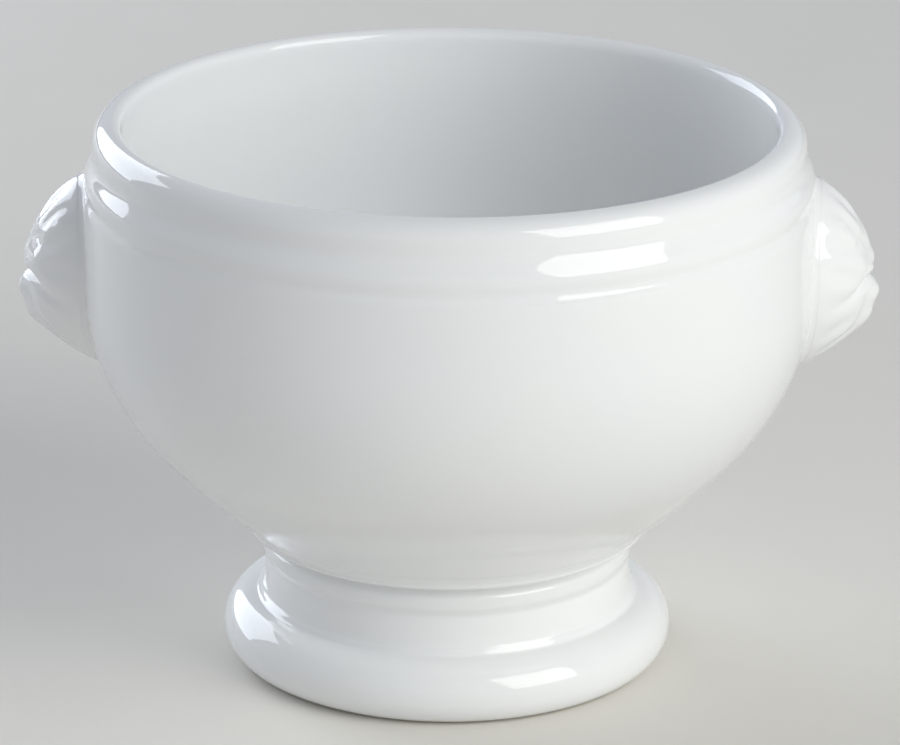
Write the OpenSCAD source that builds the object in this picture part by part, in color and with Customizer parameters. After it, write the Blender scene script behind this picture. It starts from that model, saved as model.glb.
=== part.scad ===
// Footed soup bowl in white glazed porcelain, with a lion's head on each side.
// Origin: on the table, under the middle of the foot. +Z is up, +X points through the right head.

/* [Bowl] */
// Outside diameter across the lip
rim_d = 120; // [110:1:130]
// How far the widest place of the body stands out past the lip
belly_out = 2.05; // [1.2:0.05:3]
// Height of the bowl from its seat on the foot to the top of the lip
bowl_h = 70; // [66:0.1:78]
// Depth from the top of the lip to where the body stops widening
belly_drop = 26.6; // [25:0.1:29]
// Thickness of the wall
wall_t = 4.3; // [3.5:0.1:5]
// Thickness of the floor
floor_t = 5; // [4:0.1:6.5]
// Radius of the round belly
belly_arc_r = 42; // [38:0.5:44]
// Slope of the wall where the round belly begins, in degrees above level
belly_slope = 46; // [44:0.5:50]
// Radius between the inside floor and the inside wall
floor_arc_r = 26; // [15:1:32]

/* [Lip and band] */
// Thickness through the rolled lip
lip_t = 5.2; // [4.6:0.1:6.2]
// How far the raised band under the lip stands out past the lip
band_out = 1.4; // [0.8:0.1:2.4]
// Depth from the top of the lip to the cove above the band
cove_drop = 6; // [5.6:0.1:6.6]
// How far the bottom of that cove lies in from the lip
cove_in = 0.15; // [0:0.05:0.6]
// Depth from the top of the lip to the band's upper shoulder
band_drop = 8.9; // [8.4:0.1:9.4]
// Height of the band's upright face
band_h = 2; // [1.7:0.1:2.6]
// Width of the groove under the band
groove_w = 2.6; // [2.2:0.1:3]
// Depth of the groove under the band
groove_depth = 0.45; // [0.2:0.05:0.8]
// How far the body draws in from its widest place to the groove
shoulder_in = 0.5; // [0.2:0.1:1]

/* [Seat on the foot] */
// How far the bowl's edge stands out past the foot's flange
seat_out = 0.4; // [0:0.1:1]
// Width of the ring that the bowl stands on the foot with
seat_w = 5.7; // [4.5:0.1:7]
// Depth of the recess inside that ring
seat_recess = 1.2; // [1.1:0.1:2]

/* [Foot] */
// Height of the foot up to its top face
foot_h = 24.9; // [24.3:0.1:30]
// Widest diameter of the foot, across its base roll
base_d = 77; // [72:0.5:84]
// Height of the base roll
roll_h = 10.8; // [10.4:0.1:11.4]
// Width of the flat ring that the foot stands on
ring_w = 3.5; // [3:0.1:4]
// How far the neck lies in from the base roll
neck_in = 8.1; // [7.6:0.1:9]
// Thickness of the neck's wall
neck_t = 4.2; // [3.4:0.1:5]
// How far the narrow step on the base roll stands out from the neck
step_out = 2; // [1.9:0.1:2.4]
// Height of that step
step_h = 1.1; // [1:0.1:1.4]
// How far the cushion above the step stands out from the neck, at its lower edge
cushion_out = 1.4; // [1.2:0.1:1.5]
// Height of the cushion
cushion_h = 4.3; // [4:0.1:4.8]
// How far the cushion draws in from its lower to its upper edge
cushion_taper = 0.5; // [0.3:0.1:0.8]
// Height of the groove between the cushion and the small bead above it
nick_h = 2.7; // [2.2:0.1:3]
// How far the bottom of that groove stands out from the neck
nick_out = 0.45; // [0.2:0.05:0.6]
// How far the small bead stands out from the neck
bead_out = 1.3; // [1.1:0.1:1.6]
// Height of the small bead
bead_h = 2.2; // [1.9:0.1:2.6]
// How far the flange at the top of the foot stands out from the neck
flange_out = 4.1; // [3.4:0.1:4.6]
// Thickness of that flange
flange_h = 1.5; // [1.3:0.1:2]

/* [Lion heads] */
// Width of a head
head_w = 26; // [22:0.5:30]
// Height of a head
head_h = 32.4; // [29:0.1:35]
// Depth from the top of the lip to the top of a head
head_drop = 10.7; // [10.4:0.1:12]
// How far the lower lip stands out from the head's edge
head_reach = 10.1; // [8:0.1:12]
// Thickness of a head at its edge
head_edge_t = 0.5; // [0.4:0.1:1.2]

/* [Slip joints] */
// Thickness of the luting slip under the bowl
foot_slip_t = 0.4; // [0.3:0.05:0.8]
// Thickness of the luting slip behind a head
head_slip_t = 0.35; // [0.25:0.05:0.6]
// How far the slip stays back from the edge of what it joins
slip_inset = 0.5; // [0.3:0.1:1]
// Clearance between a head's faceted back and its slip
head_fit = 0.04; // [0.03:0.01:0.08]

/* [Hidden] */

porcelain = "white";
slip_colour = "gainsboro";
// How far a cut runs past what it cuts
overrun = 1;

// Fine edge breaks of the thrown and turned clay
lip_cove_r = 4;
band_upper_r = 3.4;
seat_edge_r = 0.8;
ring_outer_r = 4.8;
ring_inner_r = 0.8;
root_r = 0.5;
step_edge_r = 0.5;
cushion_edge_r = 1.6;
bead_edge_r = 0.8;
flange_edge_r = 0.6;
hollow_ease_r = 5;
// Slope of the hollow below the seat, in degrees
hollow_slope = 63;
arc_step = 4;
turn_fn = 180;

// Heights above the table
seat_z = foot_h + foot_slip_t;
rim_z = seat_z + bowl_h;
recess_z = seat_z + seat_recess;
belly_z = rim_z - belly_drop;
band_top_z = rim_z - band_drop;
band_low_z = band_top_z - band_h;
groove_low_z = band_low_z - groove_w;
floor_z = seat_z + floor_t;

// Radii. The bowl's are worked out from its lip, the foot's from its base roll up, and the bowl's seat
// from the foot's flange.
rim_r = rim_d / 2;
belly_r = rim_r + belly_out;
band_r = rim_r + band_out;
lip_in_r = rim_r - lip_t;
shoulder_top_r = belly_r - shoulder_in;
groove_bottom_r = min(shoulder_top_r, band_r) - groove_depth;
base_r = base_d / 2;
neck_r = base_r - neck_in;
flange_r = neck_r + flange_out;
seat_r = flange_r + seat_out;
seat_in_r = seat_r - seat_w;
hollow_r = neck_r - neck_t;

// Rounded outlines: a corner is [across, up, radius]
function xy(p) = [p[0], p[1]];
function unit(v) = v / norm(v);
function half_angle(u, v) = acos(u * v) / 2;
function corner_arc(a, b, c, r) =
    let (u = unit(a - b), v = unit(c - b), half = half_angle(u, v),
         centre = b + unit(u + v) * r / sin(half),
         start = b + u * r / tan(half) - centre,
         turn = sign(cross(v, u)) * (180 - 2 * half),
         steps = max(1, ceil(abs(turn) / arc_step)))
    [for (i = [0 : steps]) let (t = turn * i / steps)
        centre + [start.x * cos(t) - start.y * sin(t), start.x * sin(t) + start.y * cos(t)]];
function rounded(corners, closed = true) =
    let (n = len(corners), last = n - 1)
    [for (i = [0 : last]) let (p = corners[i])
        each p[2] == 0 || (!closed && (i == 0 || i == last)) ? [xy(p)]
            : corner_arc(xy(corners[(i + last) % n]), xy(p), xy(corners[(i + 1) % n]), p[2])];

// Corner b of the line a b c, with the radius that turns it over a share of its shorter side
function eased(a, b, c, share) =
    let (u = xy(a) - xy(b), v = xy(c) - xy(b))
    [b[0], b[1], share * min(norm(u), norm(v)) * tan(half_angle(unit(u), unit(v)))];

// The same corner moved in by the wall, for an outline that runs up with the wall on its left
function left_of(a, b) = let (d = unit(xy(b) - xy(a))) [-d.y, d.x];
function inset(a, b, c, t) =
    let (m = left_of(a, b), n = left_of(b, c), p = xy(b) + t * (m + n) / (1 + m * n))
    [p.x, p.y, max(b[2] - t, t)];

// Corners of the body, from the seat up to the groove. The line that slopes down from the round belly
// turns in to the seat at a share of the height between them.
under_share = 0.27;
under_ease_share = 0.4;
belly_low_z = belly_z - belly_arc_r * tan((90 - belly_slope) / 2);
under_z = seat_z + under_share * (belly_low_z - seat_z);
under_r = belly_r - (belly_low_z - under_z) / tan(belly_slope);
seat_edge = [seat_r, seat_z, seat_edge_r];
belly_turn = [belly_r, belly_low_z, belly_arc_r];
under_turn = eased(seat_edge, [under_r, under_z], belly_turn, under_ease_share);
// The body eases in above its widest place, and each side of the groove takes a share of its width
ease_share = 0.8;
groove_side_share = 0.33;
groove_turn_share = 0.55;
groove_edge_share = 0.4;
shoulder_z = groove_low_z + groove_w * groove_side_share;
ease_z = (belly_z + groove_low_z) / 2;
body_at = [belly_r, ease_z];
shoulder_at = [shoulder_top_r, shoulder_z];
groove_at = [groove_bottom_r, band_low_z - groove_w * groove_side_share];
band_low_at = [band_r, band_low_z];
body_ease = eased(belly_turn, body_at, shoulder_at, ease_share);
shoulder = eased(body_at, shoulder_at, groove_at, groove_edge_share);
groove = eased(shoulder_at, groove_at, band_low_at, groove_turn_share);

// Corners from the band over the lip, which is a wide roll outside and a tight one inside
lip_roll_share = 0.7;
band_top = [band_r, band_top_z, band_upper_r];
band_low = eased(groove_at, band_low_at, band_top, groove_edge_share);
lip_cove = [rim_r - cove_in, rim_z - cove_drop, lip_cove_r];
lip_outer = [rim_r, rim_z, lip_t * lip_roll_share];
lip_inner = [lip_in_r, rim_z, lip_t * (1 - lip_roll_share)];

// Corners of the inside, from the lip down to the floor
inner_ease_share = 0.28;
inner_belly = inset(under_turn, belly_turn, body_ease, wall_t);
inner_ease = eased(lip_inner, body_at - [wall_t, 0], inner_belly, inner_ease_share);
inner_floor = [inner_belly[0] - (inner_belly[1] - floor_z) / tan(belly_slope), floor_z, floor_arc_r];

// What a head is pressed on: the outside of the wall, with the groove filled by slip
wall_corners = [seat_edge, under_turn, belly_turn, body_ease];
bridge_r = max(shoulder_top_r, band_r);
outer_wall = rounded(concat(wall_corners,
    [shoulder, groove, band_low, band_top, lip_cove, lip_outer]), closed = false);
bridged_wall = rounded(concat(wall_corners,
    [[bridge_r, shoulder_z, shoulder[2]], [bridge_r, band_top_z, 0]]), closed = false);
wall_table = [for (p = bridged_wall) [p.y, p.x]];

module bowl() {
    color(porcelain)
    rotate_extrude($fn = turn_fn)
        polygon(rounded([
            [0, recess_z, 0],
            [seat_in_r, recess_z, root_r],
            [seat_in_r, seat_z, root_r],
            seat_edge, under_turn, belly_turn, body_ease, shoulder, groove,
            band_low, band_top, lip_cove, lip_outer, lip_inner,
            inner_ease, inner_belly, inner_floor,
            [0, floor_z, 0]]));
}

// The foot's heights, from the base roll up
step_z = roll_h + step_h;
cushion_z = step_z + cushion_h;
nick_z = cushion_z + nick_h / 2;
bead_low_z = cushion_z + nick_h;
bead_top_z = bead_low_z + bead_h;
flange_low_z = foot_h - flange_h;
step_r = neck_r + step_out;
cushion_r = neck_r + cushion_out;
bead_r = neck_r + bead_out;
ring_in_r = base_r - ring_outer_r - ring_w - ring_inner_r;
// The roll is rounded over all that the step and the ring leave of it, and the neck over a share
roll_r = min(base_r - step_r, roll_h - ring_outer_r) - root_r;
neck_turn_share = 0.6;
neck_low = [neck_r, bead_top_z + bead_edge_r, root_r];
flange_low = [flange_r, flange_low_z, flange_edge_r];

module pedestal_foot() {
    color(porcelain)
    rotate_extrude($fn = turn_fn)
        polygon(rounded([
            [ring_in_r, 0, ring_inner_r],
            [base_r, 0, ring_outer_r],
            [base_r, roll_h, roll_r],
            [step_r, roll_h, root_r],
            [step_r, step_z, step_edge_r],
            [cushion_r, step_z, 0],
            [cushion_r - cushion_taper, cushion_z, cushion_edge_r],
            [neck_r + nick_out, nick_z, root_r],
            [bead_r, bead_low_z, bead_edge_r],
            [bead_r, bead_top_z, bead_edge_r],
            neck_low,
            eased(neck_low, [neck_r, flange_low_z], flange_low, neck_turn_share),
            flange_low,
            [flange_r, foot_h, flange_edge_r],
            [seat_in_r, foot_h, root_r],
            [hollow_r, foot_h - (seat_in_r - hollow_r) * tan(hollow_slope), hollow_ease_r],
            [hollow_r, roll_h, hollow_ease_r],
            [ring_in_r, roll_h / 2, hollow_ease_r / 2]]));
}

module foot_luting_slip() {
    color(slip_colour)
    translate([0, 0, foot_h])
    difference() {
        cylinder(h = foot_slip_t, r = flange_r - flange_edge_r - slip_inset, $fn = turn_fn);
        translate([0, 0, -overrun])
            cylinder(h = foot_slip_t + 2 * overrun, r = seat_in_r + root_r + slip_inset, $fn = turn_fn);
    }
}

// A head is a relief on the wall. Across and up are shares of its half width and half height.
head_z = rim_z - head_drop - head_h / 2;
head_sides = 60;
head_rings = 22;
back_rings = 6;
// How much the head narrows to its beard, as a share of its width
beard_share = 0.1;
// Height of the plain dome, as a share of the reach, and how roundly it meets the edge
dome_share = 0.86;
dome_power = 0.8;
// The features fade out over this share of the way to the edge
fade_share = 0.15;

// Soft forms on each half of the face: across, up, width, height and relief, as shares
face_shares = [
    [0.00, 0.19, 0.16, 0.08, 0.045],    // nose
    [0.14, 0.16, 0.08, 0.05, 0.03],     // nostril
    [0.24, 0.08, 0.16, 0.08, 0.055],    // whisker pad
    [0.00, 0.42, 0.16, 0.24, 0.03],     // bridge of the nose and forehead
    [0.32, 0.50, 0.20, 0.09, 0.035],    // brow
    [0.38, 0.33, 0.14, 0.08, -0.07],    // eye socket
    [0.37, 0.32, 0.07, 0.04, 0.045],    // eye
    [0.60, 0.14, 0.18, 0.09, 0.05],     // cheekbone
    [0.60, 0.64, 0.14, 0.12, 0.06],     // ear
    [0.58, 0.61, 0.07, 0.06, -0.04],    // hollow of the ear
    [0.00, -0.19, 0.22, 0.12, 0.13],    // lower lip
    [0.00, -0.50, 0.30, 0.24, 0.235],   // chin and beard
    [0.50, -0.36, 0.13, 0.24, 0.05]];   // jowl
// The mouth: how high it lies, how far its corners drop, half length, half width and depth, as shares
mouth_shares = [0.025, 0.34, 0.6, 0.055, 0.15];
mouth_end_power = 4;
// Locks of the mane: how many, where they start, and their relief as a share
lock_count = 16;
lock_start_share = 0.6;
lock_share = 0.02;

function squared(v) = v * v;
function bump(x, y, f) = f[4] * exp(-squared((x - f[0]) / f[2]) - squared((y - f[1]) / f[3]));
function face(x, y) = let (s = [for (f = face_shares) bump(abs(x), y, f)]) s * [for (v = s) 1];
function mouth(x, y) =
    let (m = mouth_shares, line = m[0] - m[1] * squared(x))
    -m[4] * exp(-squared((y - line) / m[3]) - pow(x / m[2], mouth_end_power));
function dome(s) = dome_share * pow(max(0, 1 - squared(s)), dome_power);
function locks(s, a) =
    lock_share * cos(lock_count * a) * sin(180 * max(0, s - lock_start_share) / (1 - lock_start_share));
function relief(s, a, x, y) =
    head_reach * (dome(s) + locks(s, a) + (face(x, y) + mouth(x, y)) * min(1, (1 - s) / fade_share));

// A point of a head's outline, scaled by s: [across, up] as shares
function head_share(s, a) = s * [cos(a) * (1 + beard_share * sin(a)), sin(a)];
function wall_x(y, z, out) = sqrt(squared(lookup(z, wall_table) + out) - squared(y));
function head_point(s, a, front) =
    let (p = head_share(s, a), y = p.x * head_w / 2, z = head_z + p.y * head_h / 2)
    [wall_x(y, z, head_slip_t + head_fit) + (front ? head_edge_t + relief(s, a, p.x, p.y) : 0), y, z];

// Rings of points from the middle of the front out over the edge to the middle of the back
head_levels = [for (i = [1 : head_rings]) [(sin(90 * i / head_rings) + i / head_rings) / 2, true],
               for (i = [0 : back_rings - 1]) [1 - i / back_rings, false]];
head_points = [head_point(0, 0, true),
    for (l = head_levels) for (k = [0 : head_sides - 1]) head_point(l[0], k * 360 / head_sides, l[1]),
    head_point(0, 0, false)];
function ring_at(i, k) = 1 + i * head_sides + k % head_sides;
last_level = len(head_levels) - 1;
head_faces = concat(
    [for (k = [0 : head_sides - 1]) [0, ring_at(0, k + 1), ring_at(0, k)]],
    [for (i = [0 : last_level - 1]) for (k = [0 : head_sides - 1])
        each [[ring_at(i, k), ring_at(i + 1, k + 1), ring_at(i + 1, k)],
              [ring_at(i, k), ring_at(i, k + 1), ring_at(i + 1, k + 1)]]],
    [for (k = [0 : head_sides - 1])
        [ring_at(last_level, k), ring_at(last_level, k + 1), len(head_points) - 1]]);

module lion_head() {
    color(porcelain)
        polyhedron(points = head_points, faces = head_faces, convexity = 6);
}

module right_lion_head() { lion_head(); }
module left_lion_head() { mirror([1, 0, 0]) lion_head(); }

// The slip fills the space between the wall and a head's back, groove and all
slip_top_z = band_top_z - band_h / 3;
function behind_head(points) = [for (p = points) if (p.y > floor_z && p.y < slip_top_z) p];
module head_luting_slip() {
    inner = behind_head(outer_wall);
    outer = behind_head(bridged_wall);
    color(slip_colour)
    intersection() {
        rotate_extrude($fn = turn_fn)
            polygon(concat(inner, [[band_r, slip_top_z], [bridge_r + head_slip_t, slip_top_z]],
                [for (i = [len(outer) - 1 : -1 : 0]) outer[i] + [head_slip_t, 0]]));
        translate([0, 0, head_z])
        rotate([90, 0, 90])
            linear_extrude(height = band_r + head_reach)
                polygon([for (k = [0 : head_sides - 1]) let (p = head_share(1, k * 360 / head_sides))
                    [p.x * (head_w / 2 - slip_inset), p.y * (head_h / 2 - slip_inset)]]);
    }
}

module right_head_luting_slip() { head_luting_slip(); }
module left_head_luting_slip() { mirror([1, 0, 0]) head_luting_slip(); }

bowl();
pedestal_foot();
foot_luting_slip();
right_lion_head();
left_lion_head();
right_head_luting_slip();
left_head_luting_slip();
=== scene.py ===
import math

import bmesh
import bpy
import numpy as np
from mathutils import Matrix, Vector


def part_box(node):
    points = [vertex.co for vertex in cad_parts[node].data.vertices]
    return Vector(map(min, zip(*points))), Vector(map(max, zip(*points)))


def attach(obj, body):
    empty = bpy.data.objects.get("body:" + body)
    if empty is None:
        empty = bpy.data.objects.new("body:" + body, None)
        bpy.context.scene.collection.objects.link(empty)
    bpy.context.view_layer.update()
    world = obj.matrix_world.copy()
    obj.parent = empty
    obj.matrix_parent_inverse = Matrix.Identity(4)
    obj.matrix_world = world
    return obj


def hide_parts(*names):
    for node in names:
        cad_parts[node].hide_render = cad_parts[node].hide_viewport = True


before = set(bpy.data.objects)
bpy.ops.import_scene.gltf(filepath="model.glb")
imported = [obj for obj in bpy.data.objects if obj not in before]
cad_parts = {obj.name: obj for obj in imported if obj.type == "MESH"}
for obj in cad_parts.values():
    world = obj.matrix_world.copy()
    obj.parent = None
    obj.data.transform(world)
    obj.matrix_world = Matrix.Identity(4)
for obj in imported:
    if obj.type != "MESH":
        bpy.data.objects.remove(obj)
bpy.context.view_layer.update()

# Bowl
# The bowl is hard-paste porcelain, pressed on a mould and finished on the wheel, so it is a turned
# shape: a rolled lip, a raised band with a groove under it, a round belly and a cone down to the foot.
# It is dipped in a clear glaze, which rounds every edge and fills the corners.
MM = 0.001
bowl_low, bowl_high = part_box("bowl")
seat_z, rim_z, belly_r = bowl_low.z / MM, bowl_high.z / MM, bowl_high.x / MM
rim_r, lip_t, lip_roll_share = 60.0, 5.2, 0.7
belly_drop, belly_arc_r, belly_slope = 26.6, 42.0, 46.0
wall_t, floor_t, floor_arc_r, inner_ease_share = 4.3, 5.0, 26.0, 0.28
cove_r, cove_drop, cove_arc_r = 59.85, 6.0, 4.0
band_r, band_drop, band_h, band_upper_r = 61.4, 8.9, 2.0, 3.4
groove_w, groove_depth = 2.6, 0.45
groove_side_share, groove_turn_share, groove_edge_share = 0.33, 0.55, 0.4
shoulder_in, ease_share, under_share, under_ease_share = 0.5, 0.8, 0.27, 0.4
seat_r, seat_in_r, seat_edge_r, seat_recess, glaze_root_r = 34.9, 29.2, 0.8, 1.2, 0.5
bowl_soften, bowl_places = 0.6, 288
belly_z, floor_z, recess_z = rim_z - belly_drop, seat_z + floor_t, seat_z + seat_recess


def unit(v):
    return v / np.linalg.norm(v)


def half_turn(u, v):
    return math.acos(np.clip(u @ v, -1, 1)) / 2


def rounded(corners, closed=False, arc_step=math.radians(1)):
    """The outline through [across, up, radius] corners, in fine steps."""
    corners = [np.array(c, float) for c in corners]
    count, points = len(corners), []
    for i, c in enumerate(corners):
        if c[2] == 0 or (not closed and i in (0, count - 1)):
            points.append(c[:2])
            continue
        b = c[:2]
        u, v = unit(corners[i - 1][:2] - b), unit(corners[(i + 1) % count][:2] - b)
        half = half_turn(u, v)
        centre = b + unit(u + v) * c[2] / math.sin(half)
        start = b + u * c[2] / math.tan(half) - centre
        turn = math.copysign(math.pi - 2 * half, v[0] * u[1] - v[1] * u[0])
        steps = max(2, math.ceil(abs(turn) / arc_step))
        for t in np.linspace(0, turn, steps + 1):
            points.append(centre + [start[0] * math.cos(t) - start[1] * math.sin(t),
                                    start[0] * math.sin(t) + start[1] * math.cos(t)])
    return np.array(points)


def eased(a, b, c, share):
    """Corner b of the line a b c, with the radius that turns it over a share of its shorter side."""
    a, b, c = (np.array(p[:2], float) for p in (a, b, c))
    length = min(np.linalg.norm(a - b), np.linalg.norm(c - b))
    return [*b, share * length * math.tan(half_turn(unit(a - b), unit(c - b)))]


def inset(a, b, c, t):
    """Corner b of the line a b c, moved in by t to the left of the way that the line runs."""
    a, b, c = (np.array(p, float) for p in (a, b, c))
    u, v = unit(b[:2] - a[:2]), unit(c[:2] - b[:2])
    m, n = np.array([-u[1], u[0]]), np.array([-v[1], v[0]])
    p = b[:2] + t * (m + n) / (1 + m @ n)
    return [p[0], p[1], max(b[2] - t, t)]


def slope(degrees):
    return math.tan(math.radians(degrees))


def glazed(points, closed=False, soften=0.4, fine_step=0.1, step=1.5, turn=7.0):
    """The outline as the glaze leaves it: softened over a short way, with points where it turns most."""
    if closed:
        points = np.vstack([points, points[:1]])
    run = np.concatenate([[0], np.cumsum(np.hypot(*np.diff(points, axis=0).T))])
    along = np.linspace(0, run[-1], int(run[-1] / fine_step) + 1)
    fine = np.column_stack([np.interp(along, run, points[:, k]) for k in (0, 1)])
    if closed:
        fine = fine[:-1]
    reach = int(4 * soften / fine_step)
    kernel = np.exp(-0.5 * (np.arange(-reach, reach + 1) * fine_step / soften) ** 2)
    kernel /= kernel.sum()
    ends = np.pad(fine, ((reach, reach), (0, 0)), mode="wrap" if closed else "edge")
    if not closed:      # mirrored through the end points, so that the ends stay where they are
        ends[:reach] = 2 * fine[0] - fine[reach:0:-1]
        ends[-reach:] = 2 * fine[-1] - fine[-2:-reach - 2:-1]
    soft = np.column_stack([np.convolve(ends[:, k], kernel, "valid") for k in (0, 1)])
    d = np.diff(np.vstack([soft, soft[:1]]) if closed else soft, axis=0)
    heading = np.unwrap(np.arctan2(d[:, 1], d[:, 0]))
    bend = np.abs(np.diff(heading, append=heading[-1]))
    weight = np.concatenate([[0], np.cumsum(np.hypot(*d.T) / step + np.degrees(bend) / turn)])
    wanted = np.linspace(0, weight[-1], int(weight[-1]) + 2)
    loop = np.vstack([soft, soft[:1]]) if closed else soft
    picked = np.column_stack([np.interp(wanted, weight, loop[:, k]) for k in (0, 1)])
    return picked[:-1] if closed else picked


def add_node(tree, kind, links=(), **settings):
    """Adds a node with its links, each (socket, from), and its settings: values of sockets or of the node."""
    node = tree.nodes.new(kind)
    for name, value in settings.items():
        socket = node.inputs.get(name.replace("_", " "))
        if socket is not None and not hasattr(node, name):
            socket.default_value = value
        else:
            setattr(node, name, value)
    for name, source in links:
        tree.links.new(source, node.inputs[name])
    return node


def turning_tree():
    """Turns an outline round the axis, as clay on the wheel, and closes it where it meets the axis."""
    tree = bpy.data.node_groups.new("Turned on the wheel", "GeometryNodeTree")
    for name, kind in (("Outline", "NodeSocketGeometry"), ("Places round", "NodeSocketInt"),
                       ("Rail radius", "NodeSocketFloat"), ("Closing distance", "NodeSocketFloat"),
                       ("Finish", "NodeSocketMaterial")):
        tree.interface.new_socket(name, in_out="INPUT", socket_type=kind)
    tree.interface.new_socket("Turned", in_out="OUTPUT", socket_type="NodeSocketGeometry")
    given = add_node(tree, "NodeGroupInput").outputs
    outline = add_node(tree, "GeometryNodeMeshToCurve", [("Mesh", given["Outline"])])
    rail = add_node(tree, "GeometryNodeCurvePrimitiveCircle",
                    [("Resolution", given["Places round"]), ("Radius", given["Rail radius"])])
    swept = add_node(tree, "GeometryNodeCurveToMesh",
                     [("Curve", rail.outputs["Curve"]), ("Profile Curve", outline.outputs["Curve"])])
    closed = add_node(tree, "GeometryNodeMergeByDistance",
                      [("Geometry", swept.outputs["Mesh"]), ("Distance", given["Closing distance"])])
    smooth = add_node(tree, "GeometryNodeSetShadeSmooth", [("Geometry", closed.outputs["Geometry"])])
    real = add_node(tree, "GeometryNodeRealizeInstances", [("Geometry", smooth.outputs["Geometry"])])
    finish = add_node(tree, "GeometryNodeSetMaterial",
                      [("Geometry", real.outputs["Geometry"]), ("Material", given["Finish"])])
    add_node(tree, "NodeGroupOutput", [("Turned", finish.outputs["Geometry"])])
    return tree


def outward(mesh):
    """Points a closed mesh's faces outwards and shades them smooth."""
    bm = bmesh.new()
    bm.from_mesh(mesh)
    bmesh.ops.recalc_face_normals(bm, faces=bm.faces)
    if bm.calc_volume(signed=True) < 0:
        bmesh.ops.reverse_faces(bm, faces=bm.faces)
    bm.to_mesh(mesh)
    bm.free()
    mesh.shade_smooth()


turning = turning_tree()


def turned(name, outline, places, finish, closed=False, rail_r=0.05):
    """A turned piece from its outline in millimetres, as a plain mesh at the origin."""
    count = len(outline)
    edges = [(i, (i + 1) % count) for i in range(count if closed else count - 1)]
    line = bpy.data.meshes.new(name + " outline")
    line.from_pydata([(r * MM - rail_r, -z * MM, 0) for r, z in outline], edges, [])
    wheel = bpy.data.objects.new(name + " outline", line)
    bpy.context.scene.collection.objects.link(wheel)
    modifier = wheel.modifiers.new("Turning", "NODES")
    modifier.node_group = turning
    wanted = {"Places round": places, "Rail radius": rail_r, "Closing distance": 1e-6, "Finish": finish}
    for socket in turning.interface.items_tree:
        if socket.name in wanted:
            modifier[socket.identifier] = wanted[socket.name]
    ready = wheel.evaluated_get(bpy.context.evaluated_depsgraph_get())
    mesh = bpy.data.meshes.new_from_object(ready)
    wheel.modifiers.remove(modifier)
    bpy.data.objects.remove(wheel)
    bpy.data.meshes.remove(line)
    mesh.name = name
    if not mesh.materials:
        mesh.materials.append(finish)
    outward(mesh)
    piece = bpy.data.objects.new(name, mesh)
    bpy.context.scene.collection.objects.link(piece)
    return piece


def linear(hex_colour):
    """An sRGB hex colour as the linear RGBA that Blender takes."""
    parts = [int(hex_colour[i:i + 2], 16) / 255 for i in (1, 3, 5)]
    return [*(c / 12.92 if c <= 0.04045 else ((c + 0.055) / 1.055) ** 2.4 for c in parts), 1.0]


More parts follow.
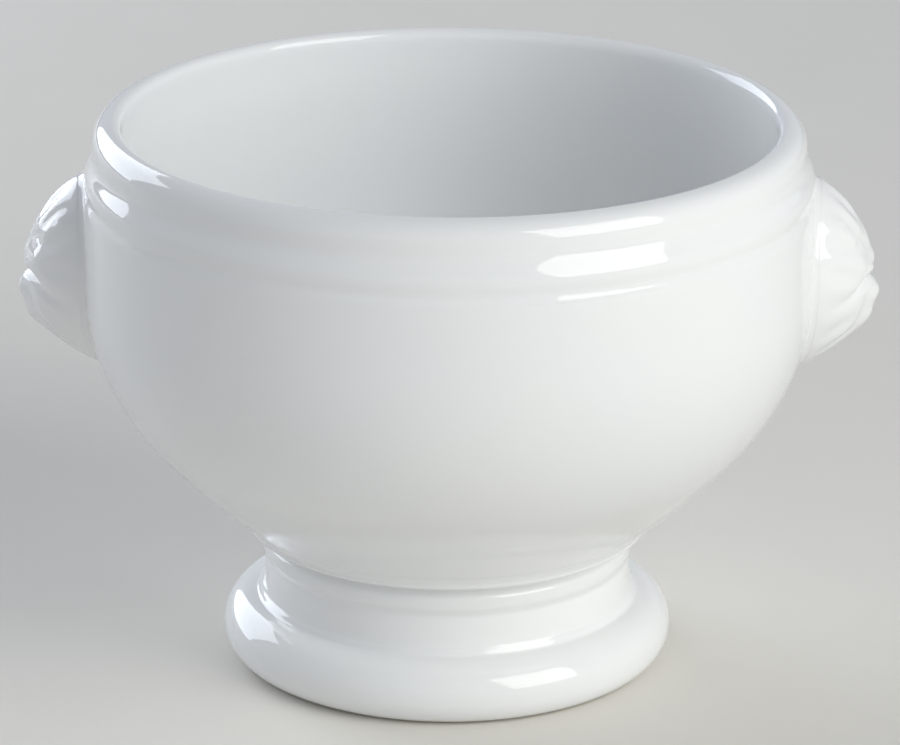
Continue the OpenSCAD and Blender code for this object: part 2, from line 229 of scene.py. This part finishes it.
# Glazed porcelain: white clay under clear glass. The eye gets a sharp clean gloss that wavers a little,
# because the glaze settled unevenly while it ran, a white that drifts a little from cool to warm, and a stray
# speck.
def porcelain():
    material = bpy.data.materials.new("Clear glazed white porcelain")
    material.use_nodes = True
    tree = material.node_tree
    tree.nodes.clear()
    place = add_node(tree, "ShaderNodeTexCoord").outputs["Object"]
    # How far apart the marks of each pattern lie, in millimetres
    drift_w, speck_w, patch_w, swell_w, peel_w = 30.3, 7.14, 12.5, 14.3, 2.0
    speck_share, speck_chance, bare_below, glazed_above = 0.035, 0.012, 0.3, 0.5
    # Slow drift of the body colour
    drift = add_node(tree, "ShaderNodeTexNoise", [("Vector", place)], Scale=1 / (drift_w * MM), Detail=2.0)
    colour = add_node(tree, "ShaderNodeMix", [("Factor", drift.outputs["Fac"])], data_type="RGBA")
    colour.inputs["A"].default_value = linear("#f0f2f3")
    colour.inputs["B"].default_value = linear("#f3f3f1")
    # Pin specks, a few tenths of a millimetre wide, in about one cell in a hundred of their lattice
    cells = add_node(tree, "ShaderNodeTexVoronoi", [("Vector", place)], Scale=1 / (speck_w * MM))
    near = add_node(tree, "ShaderNodeMath", [(0, cells.outputs["Distance"])], operation="LESS_THAN")
    near.inputs[1].default_value = speck_share
    pick = add_node(tree, "ShaderNodeSeparateColor", [("Color", cells.outputs["Color"])])
    rare = add_node(tree, "ShaderNodeMath", [(0, pick.outputs["Red"])], operation="LESS_THAN")
    rare.inputs[1].default_value = speck_chance
    speck = add_node(tree, "ShaderNodeMath", [(0, near.outputs[0]), (1, rare.outputs[0])],
                     operation="MULTIPLY")
    spotted = add_node(tree, "ShaderNodeMix", [("Factor", speck.outputs[0])], data_type="RGBA")
    tree.links.new(colour.outputs["Result"], spotted.inputs["A"])
    spotted.inputs["B"].default_value = linear("#b9b2a6")
    # The foot ring is wiped clean of glaze before firing: bare biscuit up to half a millimetre
    height = add_node(tree, "ShaderNodeSeparateXYZ", [("Vector", place)])
    bare = add_node(tree, "ShaderNodeMapRange", [("Value", height.outputs["Z"])])
    for name, value in (("From Min", glazed_above * MM), ("From Max", bare_below * MM),
                        ("To Min", 0.0), ("To Max", 1.0)):
        bare.inputs[name].default_value = value
    body = add_node(tree, "ShaderNodeMix", [("Factor", bare.outputs["Result"])], data_type="RGBA")
    tree.links.new(spotted.outputs["Result"], body.inputs["A"])
    body.inputs["B"].default_value = linear("#e2ded4")
    # Gloss: almost a mirror, a little duller in patches, and matt on the bare ring
    patch = add_node(tree, "ShaderNodeTexNoise", [("Vector", place)], Scale=1 / (patch_w * MM), Detail=3.0)
    gloss = add_node(tree, "ShaderNodeMapRange", [("Value", patch.outputs["Fac"])])
    for name, value in (("From Min", 0.3), ("From Max", 0.7), ("To Min", 0.035), ("To Max", 0.075)):
        gloss.inputs[name].default_value = value
    rough = add_node(tree, "ShaderNodeMix", [("Factor", bare.outputs["Result"])], data_type="FLOAT")
    tree.links.new(gloss.outputs["Result"], rough.inputs["A"])
    rough.inputs["B"].default_value = 0.75
    # The glaze's waver: slow swells about 0.02 mm high, and a much finer orange peel
    swell = add_node(tree, "ShaderNodeTexNoise", [("Vector", place)],
                     Scale=1 / (swell_w * MM), Detail=1.0, Roughness=0.4)
    peel = add_node(tree, "ShaderNodeTexNoise", [("Vector", place)], Scale=1 / (peel_w * MM), Detail=1.0)
    waver = add_node(tree, "ShaderNodeBump", [("Height", swell.outputs["Fac"])],
                     Strength=1.0, Distance=0.06 * MM)
    skin = add_node(tree, "ShaderNodeBump",
                    [("Height", peel.outputs["Fac"]), ("Normal", waver.outputs["Normal"])],
                    Strength=1.0, Distance=0.002 * MM)
    shader = add_node(tree, "ShaderNodeBsdfPrincipled", IOR=1.5)
    tree.links.new(body.outputs["Result"], shader.inputs["Base Color"])
    tree.links.new(rough.outputs["Result"], shader.inputs["Roughness"])
    tree.links.new(skin.outputs["Normal"], shader.inputs["Normal"])
    out = add_node(tree, "ShaderNodeOutputMaterial")
    tree.links.new(shader.outputs["BSDF"], out.inputs["Surface"])
    return material


glaze = porcelain()

groove_low_z = rim_z - band_drop - band_h - groove_w
shoulder_z = groove_low_z + groove_w * groove_side_share
ease_z = (belly_z + groove_low_z) / 2
belly_low_z = belly_z - belly_arc_r * slope((90 - belly_slope) / 2)
under_z = seat_z + under_share * (belly_low_z - seat_z)
under_r = belly_r - (belly_low_z - under_z) / slope(belly_slope)
seat_edge = [seat_r, seat_z, seat_edge_r]
belly_turn = [belly_r, belly_low_z, belly_arc_r]
under_turn = eased(seat_edge, [under_r, under_z], belly_turn, under_ease_share)
body_at, shoulder_at = [belly_r, ease_z], [belly_r - shoulder_in, shoulder_z]
band_low_at, band_top = [band_r, rim_z - band_drop - band_h], [band_r, rim_z - band_drop, band_upper_r]
groove_at = [min(shoulder_at[0], band_r) - groove_depth, band_low_at[1] - groove_w * groove_side_share]
body_ease = eased(belly_turn, body_at, shoulder_at, ease_share)
lip_inner = [rim_r - lip_t, rim_z, lip_t * (1 - lip_roll_share)]
inner_belly = inset(under_turn, belly_turn, body_ease, wall_t)
inner_ease = eased(lip_inner, [belly_r - wall_t, ease_z], inner_belly, inner_ease_share)
inner_floor = [inner_belly[0] - (inner_belly[1] - floor_z) / slope(belly_slope), floor_z, floor_arc_r]
wall_line = [seat_edge, under_turn, belly_turn, body_ease]
outside_line = [
    *wall_line, eased(body_at, shoulder_at, groove_at, groove_edge_share),
    eased(shoulder_at, groove_at, band_low_at, groove_turn_share),
    eased(groove_at, band_low_at, band_top, groove_edge_share), band_top,
    [cove_r, rim_z - cove_drop, cove_arc_r], [rim_r, rim_z, lip_t * lip_roll_share]]
bowl_outline = rounded([
    [0, recess_z, 0], [seat_in_r, recess_z, glaze_root_r], [seat_in_r, seat_z, glaze_root_r],
    *outside_line, lip_inner, inner_ease, inner_belly, inner_floor, [0, floor_z, 0]])
bowl = turned("glazed_bowl", glazed(bowl_outline, soften=bowl_soften), bowl_places, glaze)
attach(bowl, "root")
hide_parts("bowl")

# Pedestal foot
# The foot is turned separately from the same clay, hollow underneath, with a heavy base roll, a narrow
# step, a cushion, a small bead and a flange that the bowl is luted to. It stands on a bare, wiped ring.
foot_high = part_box("pedestal_foot")[1]
foot_h, base_r = foot_high.z / MM, foot_high.x / MM
ring_outer_r, ring_w, ring_inner_r, roll_h = 4.8, 3.5, 0.8, 10.8
neck_in, neck_t, step_out, step_h, nick_out, nick_h = 8.1, 4.2, 2.0, 1.1, 0.45, 2.7
cushion_out, cushion_h, cushion_taper, cushion_edge_r = 1.4, 4.3, 0.5, 1.6
bead_out, bead_h, bead_edge_r = 1.3, 2.2, 0.8
flange_out, flange_h, flange_edge_r, neck_cove_share = 4.1, 1.5, 0.6, 0.6
hollow_slope, hollow_ease_r, foot_places = 63.0, 5.0, 240
neck_r = base_r - neck_in
step_r, cushion_r, nick_r = neck_r + step_out, neck_r + cushion_out, neck_r + nick_out
bead_r, flange_r, hollow_r = neck_r + bead_out, neck_r + flange_out, neck_r - neck_t
step_z = roll_h + step_h
cushion_z = step_z + cushion_h
bead_low_z = cushion_z + nick_h
bead_top_z, flange_low_z = bead_low_z + bead_h, foot_h - flange_h
ring_in_r = base_r - ring_outer_r - ring_w - ring_inner_r
roll_r = min(base_r - step_r, roll_h - ring_outer_r) - glaze_root_r
neck_low = [neck_r, bead_top_z + bead_edge_r, glaze_root_r]
flange_low = [flange_r, flange_low_z, flange_edge_r]
foot_outline = rounded([
    [ring_in_r, 0, ring_inner_r], [base_r, 0, ring_outer_r], [base_r, roll_h, roll_r],
    [step_r, roll_h, glaze_root_r], [step_r, step_z, glaze_root_r], [cushion_r, step_z, 0],
    [cushion_r - cushion_taper, cushion_z, cushion_edge_r],
    [nick_r, cushion_z + nick_h / 2, glaze_root_r],
    [bead_r, bead_low_z, bead_edge_r], [bead_r, bead_top_z, bead_edge_r], neck_low,
    eased(neck_low, [neck_r, flange_low_z], flange_low, neck_cove_share), flange_low,
    [flange_r, foot_h, flange_edge_r], [seat_in_r, foot_h, glaze_root_r],
    [hollow_r, foot_h - (seat_in_r - hollow_r) * slope(hollow_slope), hollow_ease_r],
    [hollow_r, roll_h, hollow_ease_r], [ring_in_r, roll_h / 2, hollow_ease_r / 2]], closed=True)
foot = turned("turned_pedestal_foot", glazed(foot_outline, closed=True), foot_places, glaze, closed=True)
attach(foot, "root")
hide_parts("pedestal_foot")

# Luting slip between the bowl and the foot
# Slip is the same clay stirred with water to a paste. It glues the leather-hard foot to the bowl, and
# what squeezes out is wiped round with a wet brush into a small hollow fillet, then glazed over.
slip_low, slip_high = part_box("foot_luting_slip")
slip_low_z, slip_high_z, slip_inset, slip_bite = slip_low.z / MM, slip_high.z / MM, 1.0, 0.05
slip_soften, slip_turn, slip_in_r = 0.1, 12.0, seat_in_r + slip_inset
# The fillet's low end on the flange, its hollow corner, and its high end on the bowl's cone
low_end_in, low_end_drop, low_tuck = 0.2, 1.1, 1.0
corner_out, corner_drop, hollow_fillet_r = 0.06, 0.34, 3.0
high_end_out, high_end_rise, high_tuck = 1.33, 1.2, 0.5
foot_slip_outline = rounded([
    [slip_in_r, slip_low_z, 0], [flange_r - low_tuck, slip_low_z - slip_bite, 0],
    [flange_r - low_end_in, slip_low_z - low_end_drop, 0],
    [flange_r + corner_out, slip_high_z - corner_drop, hollow_fillet_r],
    [seat_r + high_end_out, slip_high_z + high_end_rise, 0],
    [seat_r - high_tuck, slip_high_z + slip_bite, 0], [slip_in_r, slip_high_z, 0]], closed=True)
foot_slip = turned(
    "foot_slip_fillet", glazed(foot_slip_outline, closed=True, soften=slip_soften, turn=slip_turn),
    foot_places, glaze, closed=True)
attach(foot_slip, "root")
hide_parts("foot_luting_slip")

# Lions' heads
# Each head is pressed in a plaster mould from the same clay and stuck on the wall under the lip, one on
# each side, to lift the bowl by. The forms are soft, because the glaze has filled the modelling.
head_low, head_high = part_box("right_lion_head")
head_half_w, head_half_h = 13.0, (head_high.z - head_low.z) / 2 / MM
head_z = (head_high.z + head_low.z) / 2 / MM
beard_share, slip_t, head_fit, head_edge_t, head_reach = 0.1, 0.35, 0.04, 0.5, 10.05
bridge_r, bridge_edge_r = max(shoulder_at[0], band_r), 1.5
bridged = rounded([*wall_line, [bridge_r, shoulder_z, bridge_edge_r], [bridge_r, rim_z - band_drop, 0]])
true_wall = glazed(rounded(outside_line), soften=bowl_soften)


def wall_x(y, z, out, wall=bridged):
    """How far out the wall is at y and z, plus out. The bridged wall has its groove filled."""
    return np.sqrt((np.interp(z, wall[:, 1], wall[:, 0]) + out) ** 2 - y ** 2)


# Soft forms on each half of the face: across, up, width, height and relief, as shares
face_forms = [
    (0.00, 0.19, 0.16, 0.08, 0.045),    # nose
    (0.15, 0.14, 0.05, 0.035, -0.012),  # nostril
    (0.22, 0.09, 0.15, 0.07, 0.055),    # whisker pad
    (0.00, 0.42, 0.15, 0.24, 0.03),     # bridge of the nose and forehead
    (0.30, 0.53, 0.20, 0.08, 0.035),    # brow
    (0.34, 0.37, 0.16, 0.10, -0.065),   # eye socket
    (0.34, 0.36, 0.10, 0.055, 0.04),    # eye
    (0.54, 0.20, 0.17, 0.11, 0.05),     # cheekbone
    (0.62, 0.66, 0.13, 0.11, 0.075),    # ear
    (0.60, 0.63, 0.065, 0.055, -0.05),  # hollow of the ear
    (0.00, -0.19, 0.22, 0.12, 0.13),    # lower lip
    (0.00, -0.50, 0.30, 0.24, 0.235),   # chin and beard
    (0.50, -0.36, 0.13, 0.24, 0.05),    # jowl
]


# The dome under them, the slot of the mouth, which droops outwards, and the locks of the mane, as shares
dome_share, dome_power, rim_blend_share = 0.86, 0.8, 0.15
mouth_depth, mouth_up, mouth_droop, mouth_h, mouth_w = 0.15, 0.025, 0.34, 0.055, 0.6
lock_count, lock_depth, lock_start = 16, 0.025, 0.6


def relief(s, a, x, y):
    """Height of the head over its edge at the share s of the way out, at angle a, at x across and y up."""
    face = sum(f[4] * np.exp(-((abs(x) - f[0]) / f[2]) ** 2 - ((y - f[1]) / f[3]) ** 2) for f in face_forms)
    slot = ((y - mouth_up + mouth_droop * x ** 2) / mouth_h) ** 2
    mouth = -mouth_depth * np.exp(-slot - (x / mouth_w) ** 4)
    dome = dome_share * np.maximum(0, 1 - s ** 2) ** dome_power
    swell = np.sin(math.pi * np.maximum(0, s - lock_start) / (1 - lock_start))
    locks = lock_depth * np.cos(lock_count * a) * swell
    return head_reach * (dome + locks + (face + mouth) * np.minimum(1, (1 - s) / rim_blend_share))


def head_ring(s, sides):
    """One ring of a head's outline scaled by s: its angles, its shares, and where it is in millimetres."""
    a = np.linspace(0, 2 * math.pi, sides, endpoint=False)
    x, y = s * np.cos(a) * (1 + beard_share * np.sin(a)), s * np.sin(a)
    return a, x, y, x * head_half_w, head_z + y * head_half_h


def ringed(name, rows, finish, capped=True):
    """A closed mesh through rings of points: caps on the first and last ring, or joined into one loop."""
    sides, count = len(rows[0]), len(rows)
    points = np.vstack(rows)
    faces = []
    for i in range(count - 1 if capped else count):
        j = (i + 1) % count
        faces += [(i * sides + k, i * sides + (k + 1) % sides, j * sides + (k + 1) % sides, j * sides + k)
                  for k in range(sides)]
    if capped:
        for i in (0, count - 1):
            points = np.vstack([points, rows[i].mean(axis=0)])
            faces += [(i * sides + k, i * sides + (k + 1) % sides, len(points) - 1) for k in range(sides)]
    mesh = bpy.data.meshes.new(name)
    mesh.from_pydata([tuple(p) for p in points * MM], [], faces)
    mesh.materials.append(finish)
    outward(mesh)
    piece = bpy.data.objects.new(name, mesh)
    bpy.context.scene.collection.objects.link(piece)
    return piece


def mirrored(piece, name):
    """The other side's copy of a piece."""
    mesh = piece.data.copy()
    mesh.name = name
    mesh.transform(Matrix.Diagonal((-1, 1, 1, 1)))
    outward(mesh)
    copy = bpy.data.objects.new(name, mesh)
    bpy.context.scene.collection.objects.link(copy)
    return copy


head_sides, head_rings, tip_share = 180, 90, 0.02
back_shares = (0.995, 0.9, 0.7, 0.5, 0.3, 0.1)
under_head = slip_t + head_fit
head_rows = []
spread = np.linspace(tip_share, 1, head_rings)
for s in (np.sin(spread * math.pi / 2) + spread) / 2:      # the rings lie closer near the edge
    a, x, y, across, up = head_ring(s, head_sides)
    out = wall_x(across, up, under_head) + head_edge_t + relief(s, a, x, y)
    head_rows.append(np.column_stack([out, across, up]))
for s in back_shares:
    a, x, y, across, up = head_ring(s, head_sides)
    head_rows.append(np.column_stack([wall_x(across, up, under_head), across, up]))
right_head = ringed("lion_head_right", head_rows, glaze)
left_head = mirrored(right_head, "lion_head_left")
for piece, node in ((right_head, "right_lion_head"), (left_head, "left_lion_head")):
    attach(piece, "root")
    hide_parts(node)

# Luting slip behind the heads
# The same slip holds each head. It fills the groove of the band behind it, and the brush has drawn it
# out round the head's edge into a thin hollow fillet that runs out on the wall.
fillet_from, fillet_to, fillet_rings = 0.988, 1.055, 11
front_shares, rear_shares = (0.9, 0.96), (fillet_to, 0.98, 0.9)
behind_head, below_crest, into_wall, slip_depth = 0.02, 0.03, 0.02, 0.15
slip_rows = []
for s in front_shares:
    a, x, y, across, up = head_ring(s, head_sides)
    slip_rows.append(np.column_stack([wall_x(across, up, under_head - behind_head), across, up]))
a, x, y, across, up = head_ring(fillet_from, head_sides)
crest = wall_x(across, up, under_head) + head_edge_t + relief(fillet_from, a, x, y) \
    - wall_x(across, up, 0, true_wall) - below_crest
for t in np.linspace(0, 1, fillet_rings):
    a, x, y, across, up = head_ring(fillet_from + (fillet_to - fillet_from) * t, head_sides)
    out = wall_x(across, up, 0, true_wall) + crest * (1 - t) ** 2 - into_wall * t
    slip_rows.append(np.column_stack([out, across, up]))
for s in rear_shares:
    a, x, y, across, up = head_ring(s, head_sides)
    slip_rows.append(np.column_stack([wall_x(across, up, -slip_depth, true_wall), across, up]))
right_slip = ringed("head_slip_right", slip_rows, glaze, capped=False)
left_slip = mirrored(right_slip, "head_slip_left")
for piece, node in ((right_slip, "right_head_luting_slip"), (left_slip, "left_head_luting_slip")):
    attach(piece, "root")
    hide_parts(node)

# Table and studio
# The bowl stands on a plain pale table top that runs back out of sight, lit by a soft window on the
# left behind it and a large soft lamp on the right in front.
floor_mesh = bpy.data.meshes.new("table_top")
floor_half = 6.0
floor_mesh.from_pydata([(-floor_half, -floor_half, 0), (floor_half, -floor_half, 0),
                        (floor_half, floor_half, 0), (-floor_half, floor_half, 0)], [], [(0, 1, 2, 3)])
table_paint = bpy.data.materials.new("Matt warm grey board")
table_paint.use_nodes = True
tree = table_paint.node_tree
board = tree.nodes["Principled BSDF"]
board.inputs["Roughness"].default_value = 0.75
board.inputs["Specular IOR Level"].default_value = 0.2
place = add_node(tree, "ShaderNodeTexCoord").outputs["Object"]
cloud_w = 25.0
grain = add_node(tree, "ShaderNodeTexNoise", [("Vector", place)], Scale=1 / (cloud_w * MM), Detail=4.0)
tone = add_node(tree, "ShaderNodeMix", [("Factor", grain.outputs["Fac"])], data_type="RGBA")
tone.inputs["A"].default_value = linear("#e6e3dc")
tone.inputs["B"].default_value = linear("#eae7e0")
tree.links.new(tone.outputs["Result"], board.inputs["Base Color"])
floor_mesh.materials.append(table_paint)
table = bpy.data.objects.new("table_top", floor_mesh)
bpy.context.scene.collection.objects.link(table)

world = bpy.data.worlds.new("Soft studio")
bpy.context.scene.world = world
world.use_nodes = True
sky = world.node_tree.nodes["Background"]
sky.inputs["Strength"].default_value = 0.64
# The room's walls are pale all round, and its ceiling is in shade
way = add_node(world.node_tree, "ShaderNodeTexCoord").outputs["Generated"]
rise = add_node(world.node_tree, "ShaderNodeSeparateXYZ", [("Vector", way)])
ceiling = add_node(world.node_tree, "ShaderNodeMapRange", [("Value", rise.outputs["Z"])])
ceiling.inputs["From Min"].default_value = 0.2
ceiling.inputs["From Max"].default_value = 0.7
room = add_node(world.node_tree, "ShaderNodeMix", [("Factor", ceiling.outputs["Result"])], data_type="RGBA")
room.inputs["A"].default_value = linear("#e8edf5")
room.inputs["B"].default_value = linear("#a4a8b0")
world.node_tree.links.new(room.outputs["Result"], sky.inputs["Color"])


def lamp(name, azimuth, elevation, distance, width, height, radiance, colour, aim_height=0.06):
    """A soft lamp aimed at the bowl. Azimuth is in degrees to the right of the camera's side."""
    a, e = math.radians(azimuth), math.radians(elevation)
    data = bpy.data.lights.new(name, "AREA")
    data.shape, data.size, data.size_y = "RECTANGLE", width, height
    data.energy = radiance * math.pi * width * height
    data.color = linear(colour)[:3]
    light = bpy.data.objects.new(name, data)
    bpy.context.scene.collection.objects.link(light)
    aim = Vector((0, 0, aim_height))
    offset = Vector((math.sin(a) * math.cos(e), -math.cos(a) * math.cos(e), math.sin(e)))
    light.location = aim + offset * distance
    light.rotation_euler = (-offset).to_track_quat("-Z", "Y").to_euler()


lamp("Soft lamp on the right", azimuth=50, elevation=27, distance=1.1,
     width=0.74, height=0.85, radiance=3.8, colour="#fffffb")
lamp("Window on the left", azimuth=-137, elevation=19, distance=1.4,
     width=1.05, height=0.9, radiance=3.8, colour="#eff5ff")

# The camera looks down at the bowl from in front, through a long lens that keeps perspective mild
view_scale = 1.0044
focal_px, distance, height = 4910.0, 0.7872 * view_scale, 0.3248 * view_scale
pitch, yaw, roll = math.radians(19.27), math.radians(0.02), math.radians(0.35)
image_w, sensor = 900, 36.0
camera_data = bpy.data.cameras.new("Camera")
camera_data.sensor_width = sensor
camera_data.lens = focal_px * sensor / image_w
camera = bpy.data.objects.new("Camera", camera_data)
bpy.context.scene.collection.objects.link(camera)
ahead = Vector((math.sin(yaw) * math.cos(pitch), math.cos(yaw) * math.cos(pitch), -math.sin(pitch)))
level = Vector((math.cos(yaw), -math.sin(yaw), 0))
above = level.cross(ahead)
right = math.cos(roll) * level + math.sin(roll) * above
up = -math.sin(roll) * level + math.cos(roll) * above
camera.matrix_world = Matrix((right, up, -ahead)).transposed().to_4x4()
camera.location = (0, -distance, height)
bpy.context.scene.camera = camera
bpy.context.scene.view_settings.view_transform = "Standard"
